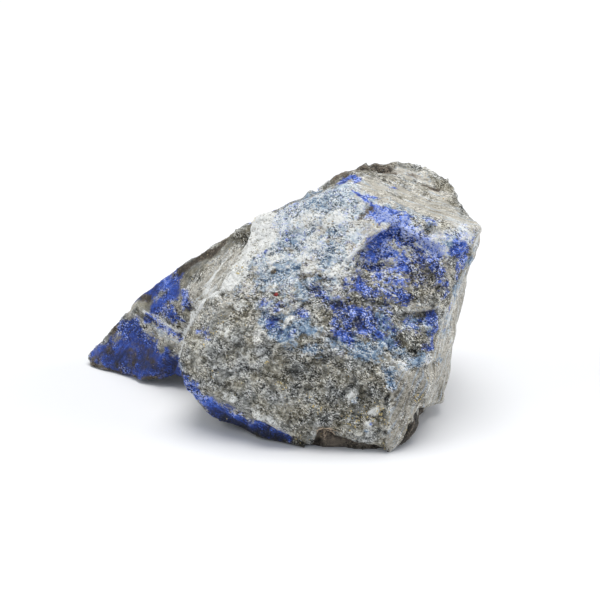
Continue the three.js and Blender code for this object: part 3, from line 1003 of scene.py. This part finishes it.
def between(value, start, end):
    """An S-shaped step from 0 at start to 1 at end."""
    step = make("ShaderNodeMapRange", (("Value", value), ("From Min", start), ("From Max", end)))
    step.interpolation_type = "SMOOTHSTEP"
    return step.outputs["Result"]


def blended(amount, under, over):
    """The colour `over` laid on the colour `under` by the given amount."""
    mix = make("ShaderNodeMix", ((0, amount), (6, under), (7, over)), data_type="RGBA")
    return mix.outputs[2]


def paint(red, green, blue):
    """A colour given as it looks on a screen, from 0 to 255, as the linear light that Blender counts
    in: the usual curve of screens, which is a straight line for the darkest values."""
    screen = (red, green, blue)
    light = [((c / 255 + 0.055) / 1.055) ** 2.4 if c > 10 else c / 3294.6 for c in screen]
    return (*light, 1.0)


def palette(value, *stops):
    """A colour ramp: each stop is a place from 0 to 1 and a screen colour."""
    ramp = make("ShaderNodeValToRGB", (("Fac", value),))
    bar = ramp.color_ramp
    for _ in stops[2:]:
        bar.elements.new(0.5)
    for element, (place, colour) in zip(bar.elements, stops):
        element.position = place
        element.color = paint(*colour)
    return ramp.outputs["Color"]


def share_of(name):
    """The share of a mineral, read from the mesh."""
    return make("ShaderNodeAttribute", attribute_name=name).outputs["Fac"]


def vectors(operation, a, second):
    """The result of one sum on vectors, the second input given as a (name or number, value) pair."""
    return make("ShaderNodeVectorMath", ((0, a), second), operation=operation).outputs[0]


print("a screen's middle grey as light:", round(paint(128, 128, 128)[0], 3))

# %% [markdown]
# ## Grains
#
# A Voronoi texture gives a mosaic and a random colour for each of its cells, and the colour's three parts
# serve as three random numbers. Voronoi cells are straight-sided, so their coordinates are curled first,
# and they are drawn out along the lie of the rock. Blotches of smooth noise vary larger areas.

# %% Grains
CURL_SCALE = 650.0
CURL_REACH = 0.0009
LIE = math.radians(26)
place = make("ShaderNodeTexCoord").outputs["Object"]
curl = make("ShaderNodeTexNoise", (("Vector", place), ("Scale", CURL_SCALE), ("Detail", 2.0)))
centred = vectors("SUBTRACT", curl.outputs["Color"], (1, (0.5, 0.5, 0.5)))
spread = vectors("SCALE", centred, ("Scale", CURL_REACH))
curled_place = vectors("ADD", place, (1, spread))


def along_the_lie(vector, shift_mm, stretch):
    """Coordinates drawn out along the lie of the rock, which dips to the right, and shifted."""
    lie = make("ShaderNodeMapping", (("Vector", vector),), vector_type="TEXTURE")
    lie.inputs["Location"].default_value = (shift_mm / 1000,) * 3
    lie.inputs["Rotation"].default_value = (0, LIE, 0)
    lie.inputs["Scale"].default_value = (stretch, 1, 1)
    return lie.outputs[0]


def grains(width_mm, stretch):
    """Three random numbers for each grain of a mosaic of that grain width, drawn out along the lie."""
    flakes = along_the_lie(curled_place, 0, stretch)
    cells = make("ShaderNodeTexVoronoi", (("Vector", flakes), ("Scale", 1000 / width_mm)))
    split = make("ShaderNodeSeparateColor", (("Color", cells.outputs["Color"]),))
    return split.outputs[:]


def blotches(width_mm, shift_mm):
    """Smooth noise around 0.5 with blotches of that width, read at a shifted place to differ."""
    shift = (shift_mm / 1000,) * 3
    moved = make("ShaderNodeMapping", (("Vector", place), ("Location", shift))).outputs[0]
    noise = make("ShaderNodeTexNoise", (("Vector", moved), ("Scale", 1000 / width_mm), ("Detail", 4.0)))
    return noise.outputs["Fac"]


fine_a, fine_b, fine_c = grains(0.16, 1.7)
mid_a, mid_b, mid_c = grains(0.42, 2.0)
print("nodes so far:", len(tree.nodes))

# %% [markdown]
# ## Tone of each grain
#
# Every mineral will have a ramp of colours from dark to light, and the tone says where on the ramp a spot
# lies. A random number for each grain would look like salt and pepper. In the real rock most grains are
# alike and a few stand out, wisps and thin light and dark lines run along the lie, and busy patches take
# turns with quiet ones. So the tone adds all of these up, with blotches of two sizes and fibres on the
# torn faces. Light and shade are painted into it too: the tops of the relief are lighter and its hollows
# darker, and strokes of painted light and shade lift or lower the tone of whole zones.

# %% Helpers for the tone
def centred_on_zero(value, amount, rest):
    """The value less a half, times an amount, added to the rest."""
    return maths("MULTIPLY_ADD", maths("SUBTRACT", value, 0.5), amount, rest)


def wisps(width_mm, shift_mm):
    """Noise drawn out along the lie of the rock and curled by its own distortion."""
    flow = along_the_lie(place, shift_mm, 2.4)
    noise = make("ShaderNodeTexNoise", (("Vector", flow), ("Scale", 1000 / width_mm), ("Detail", 5.0)))
    noise.inputs["Distortion"].default_value = 0.7
    return noise.outputs["Fac"]


def lines(value, width):
    """1 along the lines where a noise passes through a half, thin lines for a small width."""
    return between(maths("ABSOLUTE", maths("SUBTRACT", value, 0.5)), width, 0.0)


print("nodes so far:", len(tree.nodes))

# %% Unrest of the grains
course = make("ShaderNodeAttribute", attribute_name="drawn_out").outputs["Vector"]
fibres = make("ShaderNodeTexNoise", (("Vector", course), ("Scale", 2.0), ("Detail", 5.0))).outputs["Fac"]
fibre_swing = maths("MULTIPLY", maths("SUBTRACT", fibres, 0.5), share_of("streak"))
busy = maths("MULTIPLY_ADD", between(blotches(2.2, 45), 0.4, 0.6), 1.0, 0.2)
wisp = wisps(0.55, 3)
odd_one = maths("SUBTRACT", fine_a, 0.5)
odd_one = maths("MULTIPLY", odd_one, maths("ABSOLUTE", odd_one))
lively = maths("MULTIPLY_ADD", share_of("pale"), 2.2, 2.8)
lively = maths("MULTIPLY_ADD", share_of("royal"), 1.2, lively)
unrest = maths("MULTIPLY_ADD", odd_one, lively, centred_on_zero(mid_a, 0.1, 0.0))
unrest = centred_on_zero(wisp, 0.7, maths("MULTIPLY", unrest, busy))
light_lines = maths("MULTIPLY", lines(wisps(1.3, 33), 0.024), busy)
unrest = maths("MULTIPLY_ADD", light_lines, 0.34, unrest)
unrest = maths("MULTIPLY_ADD", lines(wisps(0.9, 120), 0.018), 0.24, unrest)
dark_lines = maths("MULTIPLY", lines(wisps(2.2, 66), 0.014), busy)
unrest = maths("MULTIPLY_ADD", dark_lines, -0.2, unrest)
# painted light on the tops of the relief and painted shade in its hollows
unrest = maths("MULTIPLY_ADD", share_of("painted_relief_light_and_shade"), 0.13, unrest)
print("nodes so far:", len(tree.nodes))

# %% Tone
swing = maths("MULTIPLY_ADD", share_of("even"), -0.75, 1.0)
tone = maths("MULTIPLY_ADD", unrest, swing, 0.52)
tone = centred_on_zero(blotches(3.2, 0), 0.62, tone)
tone = centred_on_zero(blotches(8.0, 12), 0.55, tone)
tone = maths("MULTIPLY_ADD", fibre_swing, 2.0, tone)
# painted light and shade from the strokes lift or lower the tone
tone = maths("MULTIPLY_ADD", share_of("shade"), 0.26, tone)
print("nodes so far:", len(tree.nodes))

# %% [markdown]
# ## Colours of the minerals
#
# Each mineral has a ramp of its own colours. The grey rock and the pale sheet are each a mix of a cool
# and a warm ramp, taken in turns by blotches. The tan film shows slate blue between its fibres.

# %% Grey rock and lazurite
cool_grey = palette(
    tone,
    (0.05, (34, 34, 33)),
    (0.28, (78, 79, 76)),
    (0.5, (128, 129, 125)),
    (0.72, (172, 173, 168)),
    (0.95, (240, 240, 237)),
)
warm_grey = palette(
    tone,
    (0.05, (36, 33, 26)),
    (0.28, (86, 81, 66)),
    (0.5, (136, 130, 112)),
    (0.72, (180, 174, 157)),
    (0.95, (240, 236, 222)),
)
warmth = centred_on_zero(fine_b, 0.3, centred_on_zero(blotches(3.2, 90), 1.8, 0.5))
grey_rock = blended(between(warmth, 0.2, 0.8), cool_grey, warm_grey)
lazurite = palette(
    tone,
    (0.05, (24, 28, 46)),
    (0.28, (38, 50, 95)),
    (0.48, (46, 72, 157)),
    (0.66, (68, 106, 208)),
    (0.86, (110, 144, 244)),
    (1.0, (192, 206, 254)),
)
print("nodes so far:", len(tree.nodes))

# %% Slate blue and the pale sheet
steel_blue = palette(
    tone,
    (0.05, (44, 58, 78)),
    (0.28, (80, 106, 138)),
    (0.5, (120, 150, 182)),
    (0.72, (168, 190, 210)),
    (0.95, (236, 240, 242)),
)
cool_pale = palette(
    tone,
    (0.05, (74, 84, 90)),
    (0.25, (130, 150, 166)),
    (0.5, (199, 213, 223)),
    (0.72, (230, 237, 242)),
    (0.95, (254, 254, 254)),
)
warm_pale = palette(
    tone,
    (0.05, (88, 80, 66)),
    (0.25, (154, 147, 131)),
    (0.5, (214, 208, 194)),
    (0.72, (236, 232, 222)),
    (0.95, (254, 253, 250)),
)
pale_rock = blended(between(blotches(3.6, 140), 0.53, 0.62), cool_pale, warm_pale)
print("nodes so far:", len(tree.nodes))

# %% Calcite, tan film and brown skin
calcite = palette(tone, (0.03, (156, 152, 138)), (0.28, (226, 224, 215)), (0.58, (254, 254, 250)))
warm_tan = palette(
    tone,
    (0.04, (114, 109, 97)),
    (0.32, (172, 166, 152)),
    (0.65, (209, 203, 190)),
    (0.95, (244, 240, 230)),
)
tan_film = blended(maths("MULTIPLY", between(fibres, 0.5, 0.66), 0.55), warm_tan, steel_blue)
brown_skin = palette(tone, (0.05, (26, 23, 19)), (0.45, (70, 63, 54)), (0.9, (138, 126, 111)))
print("nodes so far:", len(tree.nodes))

# %% [markdown]
# ## Choosing a mineral for each grain
#
# A mineral's share at a point is shaken by blotches and by the grain's random numbers, and where the sum
# is above a half the grain is that mineral. So a patch gets a grainy border by itself, and a share near a
# half gives a mix. The masks are laid over the grey rock one after another, and the royal blue comes last
# because it is the strongest colour.

# %% Masks
def grain_mask(name, shift, first, second):
    """1 where the mineral's share, shaken by blotches and by the random numbers of two mosaics, is above
    a half, with a soft border."""
    shake = centred_on_zero(blotches(0.8, shift + 5), 1.05, centred_on_zero(first, 0.3, 0.0))
    shake = maths("MULTIPLY", centred_on_zero(second, 0.32, shake), swing)
    shaken_share = centred_on_zero(blotches(2.4, shift), 1.5, maths("ADD", share_of(name), shake))
    return maths("MULTIPLY", between(shaken_share, 0.28, 0.72), between(share_of(name), 0.03, 0.16))


colour = blended(grain_mask("tan", 10, mid_b, fine_b), grey_rock, tan_film)
colour = blended(grain_mask("pale", 20, mid_c, fine_c), colour, pale_rock)
blue_speck = between(wisps(0.55, 90), 0.53, 0.62)
blue_in_pale = maths("MULTIPLY", blue_speck, maths("MULTIPLY", share_of("pale"), 0.6))
colour = blended(blue_in_pale, colour, lazurite)
colour = blended(grain_mask("steel", 25, mid_b, fine_a), colour, steel_blue)
colour = blended(grain_mask("white", 30, mid_b, fine_c), colour, calcite)
colour = blended(grain_mask("royal", 40, mid_c, fine_b), colour, lazurite)
print("nodes so far:", len(tree.nodes))

# %% [markdown]
# ## Single dark, white and golden grains
#
# Here and there a grain is much darker or lighter than its neighbours, and a few are pyrite, which
# shines like brass. They are the peaks of a fine noise, so that they differ in size and shape. The brown
# skin covers the dark and white grains, because it lies on top of the rock.

# %% Odd grains
rough_only = maths("MULTIPLY", swing, swing)
dark_grain = maths("MULTIPLY", between(blotches(0.35, 60), 0.61, 0.66), rough_only)
white_grain = maths("MULTIPLY", between(blotches(0.3, 70), 0.62, 0.67), rough_only)
gold_grain = between(blotches(0.7, 80), 0.72, 0.735)
colour = blended(maths("MULTIPLY", dark_grain, 0.45), colour, paint(40, 38, 35))
colour = blended(maths("MULTIPLY", white_grain, 0.7), colour, paint(248, 248, 245))
colour = blended(grain_mask("rind", 50, mid_b, fine_a), colour, brown_skin)
colour = blended(gold_grain, colour, paint(176, 146, 84))
print("nodes so far:", len(tree.nodes))

# %% [markdown]
# ## Surface of the grains
#
# Broken grains stand at slightly different heights and some have a shiny flat face. A bump of the cells'
# random numbers, of the wisps and of blotches gives the heights, and the roughness follows another random
# number of the fine grains.

# %% Bump and shader
BUMP_HEIGHT = 0.0003
height = maths("MULTIPLY_ADD", fine_a, 0.8, maths("MULTIPLY", mid_a, 0.8))
height = maths("MULTIPLY_ADD", wisp, 1.9, height)
height = maths("MULTIPLY_ADD", blotches(1.8, 33), 2.2, height)
height = maths("MULTIPLY", height, swing)
bump = make("ShaderNodeBump", (("Strength", 0.8), ("Distance", BUMP_HEIGHT), ("Height", height)))
rough = maths("MULTIPLY_ADD", fine_c, 0.3, 0.5)
surface = make(
    "ShaderNodeBsdfPrincipled",
    (
        ("Base Color", colour),
        ("Roughness", rough),
        ("Metallic", maths("MULTIPLY", gold_grain, 0.8)),
        ("Normal", bump.outputs["Normal"]),
        ("Specular IOR Level", 0.35),
    ),
)
make("ShaderNodeOutputMaterial", (("Surface", surface.outputs["BSDF"]),))
mesh.materials.append(rock)
print("nodes in the rock:", len(tree.nodes))

# %% [markdown]
# ## Grains of pyrite
#
# Pyrite grows as little brass-coloured boxes. They are far too small to be modelled one by one, but on a
# real stone they catch the light, which paint doesn't. So each grain is a box of eight corners, stretched
# and turned at random and set half into the skin, all worked out as one array.

# %% Boxes on the skin
SEED = 8
chance = np.random.default_rng(SEED)
final_tree = BVHTree.FromPolygons((points / 1000).tolist(), faces.tolist())


def on_skin(spots):
    """The places (mm) on the finished skin that are nearest to the given ones."""
    return 1000 * np.array([final_tree.find_nearest(Vector(spot / 1000))[0] for spot in spots])


def boxes(name, places, sizes, finish):
    """One mesh of boxes: eight corners at plus and minus one, times the size and a random stretch, turned
    by the orthogonal part of a random matrix, and moved to the place."""
    signs = np.array(list(np.ndindex(2, 2, 2))) * 2 - 1
    sides = np.array(
        [(0, 1, 3, 2), (4, 6, 7, 5), (0, 4, 5, 1), (2, 3, 7, 6), (0, 2, 6, 4), (1, 5, 7, 3)]
    )
    turns = np.linalg.qr(chance.normal(size=(len(places), 3, 3)))[0]
    turns[:, :, 0] *= np.sign(np.linalg.det(turns))[:, None]
    stretch = sizes[:, None] * chance.uniform(0.6, 1.3, (len(places), 3))
    corners = np.einsum("nij,nkj->nki", turns, signs * stretch[:, None, :]) + places[:, None, :]
    numbers = sides[None] + 8 * np.arange(len(places))[:, None, None]
    made = bpy.data.meshes.new(name)
    made.from_pydata((corners.reshape(-1, 3) / 1000).tolist(), [], numbers.reshape(-1, 4).tolist())
    made.materials.append(finish)
    piece = bpy.data.objects.new(name, made)
    bpy.context.scene.collection.objects.link(piece)
    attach(piece, "root")


print("the finished skin's highest point is at", round(points[:, 2].max(), 1), "mm")

# %% [markdown]
# ## A finish for small pieces
#
# Brass-coloured pyrite, the red grains and the lint are all too small for a pattern of their own. A fine
# noise still varies their colour and their gloss, so that no two grains look alike.

# %% Small finish
SMALL_SCALE = 4000.0
GLOSS_SWING = 0.15


def small_finish(name, dark, light, metallic, rough):
    """A finish for small pieces: a fine noise takes the colour from dark to light, and the roughness
    from GLOSS_SWING below to GLOSS_SWING above its middle value."""
    finish = bpy.data.materials.new(name)
    finish.use_nodes = True
    nodes = finish.node_tree.nodes
    skin = nodes["Principled BSDF"]
    skin.inputs["Metallic"].default_value = metallic
    noise = nodes.new("ShaderNodeTexNoise")
    noise.inputs["Scale"].default_value = SMALL_SCALE
    wear = nodes.new("ShaderNodeMapRange")
    wear.inputs["To Min"].default_value = rough - GLOSS_SWING
    wear.inputs["To Max"].default_value = rough + GLOSS_SWING
    links = finish.node_tree.links
    links.new(nodes.new("ShaderNodeTexCoord").outputs["Object"], noise.inputs["Vector"])
    links.new(noise.outputs["Fac"], wear.inputs["Value"])
    links.new(wear.outputs["Result"], skin.inputs["Roughness"])
    ramp = nodes.new("ShaderNodeValToRGB")
    for element, edge, colour in zip(ramp.color_ramp.elements, (0.3, 0.7), (dark, light)):
        element.position = edge
        element.color = paint(*colour)
    links.new(noise.outputs["Fac"], ramp.inputs["Fac"])
    links.new(ramp.outputs["Color"], skin.inputs["Base Color"])
    return finish


gold = small_finish("pyrite", (202, 172, 92), (240, 226, 172), 0.6, 0.4)
red = small_finish("red grain", (112, 20, 22), (164, 44, 38), 0.0, 0.5)
print("small finishes:", gold.name, "and", red.name)

# %% [markdown]
# ## Where the small grains sit
#
# Pyrite likes company, so many grains sit in clusters of five around spots of the picture, and the rest
# are scattered over the whole stone. A red spot on the front is two larger grains. Sizes are half widths
# in millimetres.

# %% Place pyrite and the red grains
IN_A_CLUSTER = 5
CLUSTER_SPREAD = 0.5
SCATTERED = 260
gold_spots = [
    (223, 318), (212, 332), (204, 341), (213, 374), (267, 363), (286, 388),
    (308, 394), (312, 402), (320, 412), (298, 438), (348, 420), (356, 424),
    (362, 412), (380, 407), (384, 419), (420, 398), (384, 447), (240, 272),
    (237, 266), (256, 222), (383, 295), (376, 221), (352, 428), (378, 414),
    (390, 300), (366, 270), (402, 244), (242, 269), (350, 415), (358, 418),
    (382, 412), (372, 420), (386, 424), (418, 399), (278, 384), (316, 408),
]
picked = np.array([on_stone(*spot) for spot in gold_spots])
clusters = np.repeat(picked, IN_A_CLUSTER, axis=0)
clusters = on_skin(clusters + chance.normal(scale=CLUSTER_SPREAD, size=clusters.shape))
free_points = np.flatnonzero(above_base[:, 0] > 0.9)
loose = points[chance.choice(free_points, SCATTERED)]
places = np.concatenate([clusters, loose])
cluster_sizes = chance.uniform(0.05, 0.12, len(clusters))
loose_sizes = chance.uniform(0.04, 0.08, len(loose))
boxes("pyrite", places, np.concatenate([cluster_sizes, loose_sizes]), gold)
red_places = on_skin([on_stone(276, 295)]) + np.array([(0, 0, 0), (0.1, 0, -0.2)])
boxes("red_grains", red_places, np.array([0.27, 0.2]), red)
print(len(places), "grains of pyrite")

# %% [markdown]
# ## Lint
#
# A tuft of fine plant fibres clings to the brown skin at the foot of the stone. Hair particles could
# give it, but they aren't a mesh. So each fibre is a tube: a ring of five points carried along an arc
# that leaves the skin and comes back to it. The tube thins out to a closed tip at both ends.

# %% Tubes
RINGS = 12
SIDES = 5


def fibre_tubes(starts, ends, rises, radius):
    """Tubes along arcs: the straight way from start to end, plus a rise that is 4 t (1 - t) of its height,
    with five-sided rings that thin out towards a single point at each end."""
    t = np.linspace(0, 1, RINGS + 2)[None, :, None]
    middle = starts[:, None] * (1 - t) + ends[:, None] * t + 4 * t * (1 - t) * rises[:, None]
    course = np.gradient(middle, axis=1)[:, 1:-1]
    course = course / np.linalg.norm(course, axis=2, keepdims=True)
    side = np.cross(course, np.array([0.3, 0.5, 0.8]))
    side = side / np.linalg.norm(side, axis=2, keepdims=True)
    other = np.cross(course, side)
    angle = np.linspace(0, 2 * np.pi, SIDES, endpoint=False)[None, None, :, None]
    girth = radius * np.sqrt(np.sin(np.pi * t[:, 1:-1]))[..., None]
    round_about = np.cos(angle) * side[:, :, None] + np.sin(angle) * other[:, :, None]
    rings = (middle[:, 1:-1, None] + girth * round_about).reshape(len(starts), -1, 3)
    return np.concatenate([rings, middle[:, :1], middle[:, -1:]], axis=1)


def tube_faces(number):
    """Four-sided faces between neighbouring rings, and three-sided ones from the end rings to the tips."""
    ring, point = np.meshgrid(np.arange(RINGS - 1), np.arange(SIDES), indexing="ij")
    here, after = ring * SIDES + point, ring * SIDES + (point + 1) % SIDES
    walls = np.stack([here, after, after + SIDES, here + SIDES], -1).reshape(-1, 4)
    around, last = np.arange(SIDES), (RINGS - 1) * SIDES
    tip = np.full(SIDES, RINGS * SIDES)
    start_cap = np.stack([tip, (around + 1) % SIDES, around], -1)
    end_cap = np.stack([tip + 1, last + around, last + (around + 1) % SIDES], -1)
    first = (RINGS * SIDES + 2) * np.arange(number)[:, None, None]
    caps = np.concatenate([start_cap, end_cap])
    return (first + walls).reshape(-1, 4).tolist() + (first + caps).reshape(-1, 3).tolist()


print("a fibre has", len(tube_faces(1)), "faces")

# %% Fibres
FIBRES = 26
FIBRE_RADIUS = 0.07
tuft_spots = ((320, 432), (323, 429), (326, 428), (327, 434), (330, 431), (326, 439), (322, 436))
tuft = np.array([on_stone(*spot) for spot in tuft_spots])
starts = tuft[chance.integers(len(tuft), size=FIBRES)]
starts = starts + chance.normal(scale=0.25, size=(FIBRES, 3))
ends = starts + chance.normal(scale=(1.0, 0.25, 0.9), size=(FIBRES, 3))
starts, ends = (on_skin(spots) for spots in (starts, ends))
rises = np.array([0, -0.5, 0.25]) * chance.uniform(0.3, 1.3, (FIBRES, 1))
lint_mesh = bpy.data.meshes.new("lint")
lint_points = fibre_tubes(starts, ends, rises, FIBRE_RADIUS).reshape(-1, 3)
lint_mesh.from_pydata((lint_points / 1000).tolist(), [], tube_faces(FIBRES))
lint_mesh.polygons.foreach_set("use_smooth", np.ones(len(lint_mesh.polygons), dtype=bool))
lint_mesh.materials.append(small_finish("lint fibre", (176, 152, 126), (226, 208, 186), 0.0, 0.6))
lint = bpy.data.objects.new("lint", lint_mesh)
bpy.context.scene.collection.objects.link(lint)
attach(lint, "root")
print(FIBRES, "fibres of lint")

# %% [markdown]
# ## Floor
#
# The stone stands on a plain white surface that is lit so brightly that it has no edge. It belongs to
# the stage and not to the object, so one large square is enough.

# %% Floor
FLOOR_REACH = 3.0
floor_signs = ((-1, -1), (1, -1), (1, 1), (-1, 1))
floor_corners = [(FLOOR_REACH * x, FLOOR_REACH * y, 0) for x, y in floor_signs]
floor_mesh = bpy.data.meshes.new("floor")
floor_mesh.from_pydata(floor_corners, [], [(0, 1, 2, 3)])
floor = bpy.data.objects.new("floor", floor_mesh)
bpy.context.scene.collection.objects.link(floor)
white_paper = bpy.data.materials.new("white paper")
white_paper.use_nodes = True
paper = white_paper.node_tree.nodes["Principled BSDF"]
paper.inputs["Base Color"].default_value = (0.86, 0.86, 0.87, 1.0)
paper.inputs["Roughness"].default_value = 0.9
paper.inputs["Specular IOR Level"].default_value = 0.1
floor_mesh.materials.append(white_paper)
print("floor is", 2 * FLOOR_REACH, "m wide")

# %% [markdown]
# ## Light
#
# A large soft lamp overhead, a very little warm, gives the main light. Two weaker ones stand on the right
# and on the left, and pale bluish surroundings fill the shadows. The standard view transform keeps the
# colours as they were chosen.

# %% Lights
sky = bpy.data.worlds.new("studio")
sky.use_nodes = True
sky.node_tree.nodes["Background"].inputs["Color"].default_value = (0.74, 0.84, 1.0, 1.0)
sky.node_tree.nodes["Background"].inputs["Strength"].default_value = 0.33
bpy.context.scene.world = sky


def lamp(name, place, aim, size, power, colour=(1.0, 1.0, 1.0)):
    """A square soft lamp at a place, turned towards another place."""
    data = bpy.data.lights.new(name, "AREA")
    data.size = size
    data.energy = power
    data.color = colour
    made = bpy.data.objects.new(name, data)
    made.location = place
    made.rotation_euler = (Vector(aim) - Vector(place)).to_track_quat("-Z", "Y").to_euler()
    bpy.context.scene.collection.objects.link(made)


LAMP_AIM = (0, 0, 0.02)
lamp("top lamp", (0.1, 0.3, 2.1), LAMP_AIM, 1.6, 41.0, (1.0, 0.985, 0.95))
lamp("right lamp", (1.4, 0.0, 0.6), LAMP_AIM, 0.9, 8.0)
lamp("left lamp", (-1.3, -0.2, 1.0), LAMP_AIM, 0.9, 6.0)
bpy.context.scene.view_settings.view_transform = "Standard"
print("lights are on")
